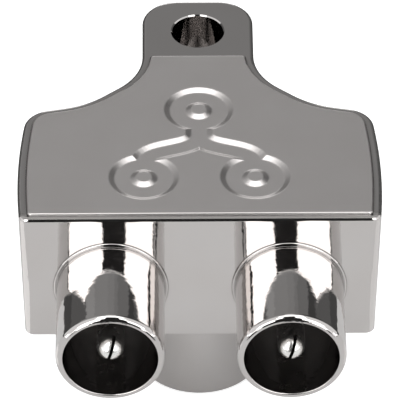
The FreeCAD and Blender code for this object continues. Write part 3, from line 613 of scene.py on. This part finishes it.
def press_tool(top):
    """A closed block whose underside has the sign's strokes and rings standing out of it.

    Between them it stays just clear of the top of the cover."""
    reach = SIGN_RING_RADIUS + SIGN_MARGIN
    xs = np.arange(-SIGN_LOW_RING[0] - reach, SIGN_LOW_RING[0] + reach, SIGN_GRID)
    ys = np.arange(SIGN_LOW_RING[1] - reach, SIGN_TOP_RING[1] + reach, SIGN_GRID)
    x, y = np.meshgrid(xs, ys)
    strokes = [near_line(x, y, [(0, SIGN_TOP_RING[1] - SIGN_RING_RADIUS), SIGN_FORK]),
               near_line(x, y, branch(1)), near_line(x, y, branch(-1))]
    for across, along in (SIGN_TOP_RING, SIGN_LOW_RING, (-SIGN_LOW_RING[0], SIGN_LOW_RING[1])):
        strokes.append(np.abs(np.hypot(x - across, y - along) - SIGN_RING_RADIUS))
    inside = SIGN_STROKE / 2 - np.minimum.reduce(strokes)
    sunk = soft_ramp(inside / SIGN_SLOPE + 0.5) * (SIGN_DEPTH + PRESS_LIFT) - PRESS_LIFT
    rows, columns = x.shape
    tool = bpy.data.meshes.new("press_tool")
    work = bmesh.new()
    under = [[work.verts.new((x[i, j], y[i, j], top - sunk[i, j])) for j in range(columns)]
             for i in range(rows)]
    over = [[work.verts.new((x[i, j], y[i, j], top + PRESS_BLOCK)) for j in range(columns)]
            for i in (0, rows - 1)]
    for i in range(rows - 1):
        for j in range(columns - 1):
            work.faces.new((under[i][j], under[i + 1][j], under[i + 1][j + 1], under[i][j + 1]))
    left = [under[i][0] for i in range(rows)]
    right = [under[i][-1] for i in range(rows)]
    work.faces.new(over[0] + over[1][::-1])
    work.faces.new(under[0] + over[0][::-1])
    work.faces.new(under[-1] + over[1][::-1])
    work.faces.new(left + [over[1][0], over[0][0]])
    work.faces.new(right + [over[1][-1], over[0][-1]])
    bmesh.ops.recalc_face_normals(work, faces=work.faces)
    work.to_mesh(tool)
    work.free()
    return tool


press = bpy.data.objects.new("press_tool", press_tool(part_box("top_cover")[1][2]))
bpy.context.scene.collection.objects.link(press)
blank = bpy.data.objects.new("cover_blank", nodes["top_cover"].data.copy())
blank.matrix_world = nodes["top_cover"].matrix_world
bpy.context.scene.collection.objects.link(blank)
sinking = blank.modifiers.new("sinking", "BOOLEAN")
sinking.operation = "DIFFERENCE"
sinking.solver = "EXACT"
sinking.object = press
bpy.context.view_layer.update()
pressed = bpy.data.meshes.new_from_object(
    blank.evaluated_get(bpy.context.evaluated_depsgraph_get()))
pressed.transform(blank.matrix_world)
pressed.name = "pressed_cover"
for done in (press, blank):
    bpy.data.objects.remove(done)
show("pressed_cover", pressed, satin, "top_cover")
level_sides = Counter(key for face in pressed.polygons if face.normal.z > LEVEL
                      for key in face.edge_keys)
for edge in pressed.edges:
    if level_sides[edge.key] == 1:
        edge.use_edge_sharp = True

# The studio is a pale floor in a white room. Tall softboxes stand left and right of the front
# with a small dark card between them, one more hangs overhead, and the cards at the back are
# darker. The cards and boards that lie on the floor are seen by shiny surfaces only.

PANEL_RADIUS = 1.2
PANEL_CENTRE = 0.015
CARD_RADIUS = 0.125
CARD_LIFT = 0.0003
BACK_EDGES = (110, 151, 167, 173, 185, 207, 250)
BACK_STRENGTHS = (0.067, 0.20, 0.24, 0.28, 0.30, 0.36)
ROOM = (1.0, 1.0, 1.0)
FLOOR_HALF = 4.0
FLOOR_PAPER = (0.57, 0.57, 0.57)
FLOOR_ROUGH = 0.9
FLOOR_LIFT = 0.68


def hang(name, mesh, strength, lights):
    """Give a stage mesh an even glow. One that doesn't light the floor is seen in gloss only."""
    glow = bpy.data.materials.new(name)
    glow.use_nodes = True
    tree = glow.node_tree
    tree.nodes.clear()
    light = tree.nodes.new("ShaderNodeEmission")
    light.inputs["Strength"].default_value = strength
    tree.links.new(light.outputs[0], tree.nodes.new("ShaderNodeOutputMaterial").inputs["Surface"])
    mesh.materials.append(glow)
    panel = bpy.data.objects.new(name, mesh)
    bpy.context.scene.collection.objects.link(panel)
    panel.visible_camera = False
    panel.visible_diffuse = lights
    panel.visible_shadow = lights


def studio_panel(name, azimuths, elevations, strength, radius=PANEL_RADIUS, steps=24):
    """Part of a glowing sphere round the object, in degrees.

    Azimuth 0 is in front and +90 is right. Only the large panels light the floor."""
    mesh = bpy.data.meshes.new(name)
    work = bmesh.new()
    grid = []
    for i in range(steps + 1):
        azimuth = math.radians(azimuths[0] + (azimuths[1] - azimuths[0]) * i / steps)
        column = []
        for j in range(steps + 1):
            elevation = math.radians(elevations[0] + (elevations[1] - elevations[0]) * j / steps)
            column.append(work.verts.new((
                radius * math.sin(azimuth) * math.cos(elevation),
                -radius * math.cos(azimuth) * math.cos(elevation),
                radius * math.sin(elevation) + PANEL_CENTRE)))
        grid.append(column)
    for i in range(steps):
        for j in range(steps):
            work.faces.new((grid[i][j], grid[i + 1][j], grid[i + 1][j + 1], grid[i][j + 1]))
    work.to_mesh(mesh)
    work.free()
    hang(name, mesh, strength, radius == PANEL_RADIUS)


def floor_card(name, across, along, strength):
    """A sheet just over the floor that only shiny surfaces see.

    Its reach is in metres, from left to right and from front to back."""
    mesh = bpy.data.meshes.new(name)
    mesh.from_pydata([(across[0], along[0], CARD_LIFT), (across[1], along[0], CARD_LIFT),
                      (across[1], along[1], CARD_LIFT), (across[0], along[1], CARD_LIFT)],
                     [], [(0, 1, 2, 3)])
    hang(name, mesh, strength, False)


studio_panel("front_card", (-18.5, 18.5), (-6.5, 67), 0.025, CARD_RADIUS)
studio_panel("left_softbox", (-45, -10), (-1, 68), 3.5)
studio_panel("right_softbox", (10, 45), (-1, 68), 3.3)
studio_panel("back_low", (173, 187), (0, 24), 1.3)
studio_panel("back_left_card", (187, 250), (-1, 24), 0.13)
studio_panel("back_right_card", (110, 173), (-1, 24), 0.13)
for k, strength in enumerate(BACK_STRENGTHS):
    studio_panel(f"back_high_card_{k + 1}", BACK_EDGES[k:k + 2], (24, 56), strength)
studio_panel("overhead_softbox", (0, 360), (66, 90), 2.3)
floor_card("left_floor_card", (-1.1, -0.012), (0.03, 1.1), 0.08)
floor_card("right_floor_card", (0.012, 1.1), (0.03, 1.1), 0.08)
floor_card("left_front_board", (-1.1, -0.05), (-1.1, -0.105), 3.5)
floor_card("right_front_board", (0.05, 1.1), (-1.1, -0.105), 3.3)
floor_card("left_front_strip", (-0.6, -0.05), (-0.105, -0.083), 0.02)
floor_card("right_front_strip", (0.05, 0.6), (-0.105, -0.083), 0.02)
floor_card("front_mat", (-0.04, 0.04), (-0.125, -0.055), 0.025)
floor_card("left_near_card", (-0.045, -0.024), (-0.022, 0.002), 1.18)
floor_card("right_near_card", (0.024, 0.045), (-0.022, 0.002), 0.95)

world = bpy.data.worlds.new("white_room")
bpy.context.scene.world = world
world.use_nodes = True
world.node_tree.nodes["Background"].inputs["Color"].default_value = (*ROOM, 1)

floor_mesh = bpy.data.meshes.new("floor")
work = bmesh.new()
bmesh.ops.create_grid(work, x_segments=1, y_segments=1, size=FLOOR_HALF)
work.to_mesh(floor_mesh)
work.free()
floor = bpy.data.objects.new("floor", floor_mesh)
bpy.context.scene.collection.objects.link(floor)
paper = Finish("white_paper", FLOOR_PAPER, 0, FLOOR_ROUGH)
paper.set("Specular IOR Level", 0.0)
paper.set("Emission Color", (1, 1, 1, 1))
seen = paper.add("ShaderNodeLightPath").outputs["Is Camera Ray"]
paper.join(paper.ramp(seen, 0, 1, 0, FLOOR_LIFT), paper.shader.inputs["Emission Strength"])
dress(floor, paper)

# The camera looks down at the object from in front, as the photograph does. Its place, turn and
# focal length were fitted to the rims, the collars, the hole and the outline in the photograph.

CAMERA_ELEVATION = math.radians(40.0)
CAMERA_AZIMUTH = math.radians(-0.568)
CAMERA_ROLL = math.radians(0.093)
CAMERA_DISTANCE = 404.39 * MM
CAMERA_TARGET = Vector((-0.02, -8.0, 24.861)) * MM
PHOTO_WIDTH = 400
FOCAL_PIXELS = 4667.1

lens = bpy.data.cameras.new("camera")
lens.lens = FOCAL_PIXELS / PHOTO_WIDTH * lens.sensor_width
lens.clip_start = 0.01
lens.clip_end = 50
camera = bpy.data.objects.new("camera", lens)
bpy.context.scene.collection.objects.link(camera)
back = Vector((math.sin(CAMERA_AZIMUTH) * math.cos(CAMERA_ELEVATION),
               -math.cos(CAMERA_AZIMUTH) * math.cos(CAMERA_ELEVATION),
               math.sin(CAMERA_ELEVATION)))
level = Vector((math.cos(CAMERA_AZIMUTH), math.sin(CAMERA_AZIMUTH), 0))
upright = back.cross(level)
right = math.cos(CAMERA_ROLL) * level + math.sin(CAMERA_ROLL) * upright
up = math.cos(CAMERA_ROLL) * upright - math.sin(CAMERA_ROLL) * level
aim = Matrix((right, up, back)).transposed().to_4x4()
camera.matrix_world = Matrix.Translation(CAMERA_TARGET + back * CAMERA_DISTANCE) @ aim
bpy.context.scene.camera = camera
bpy.context.scene.view_settings.view_transform = "Standard"
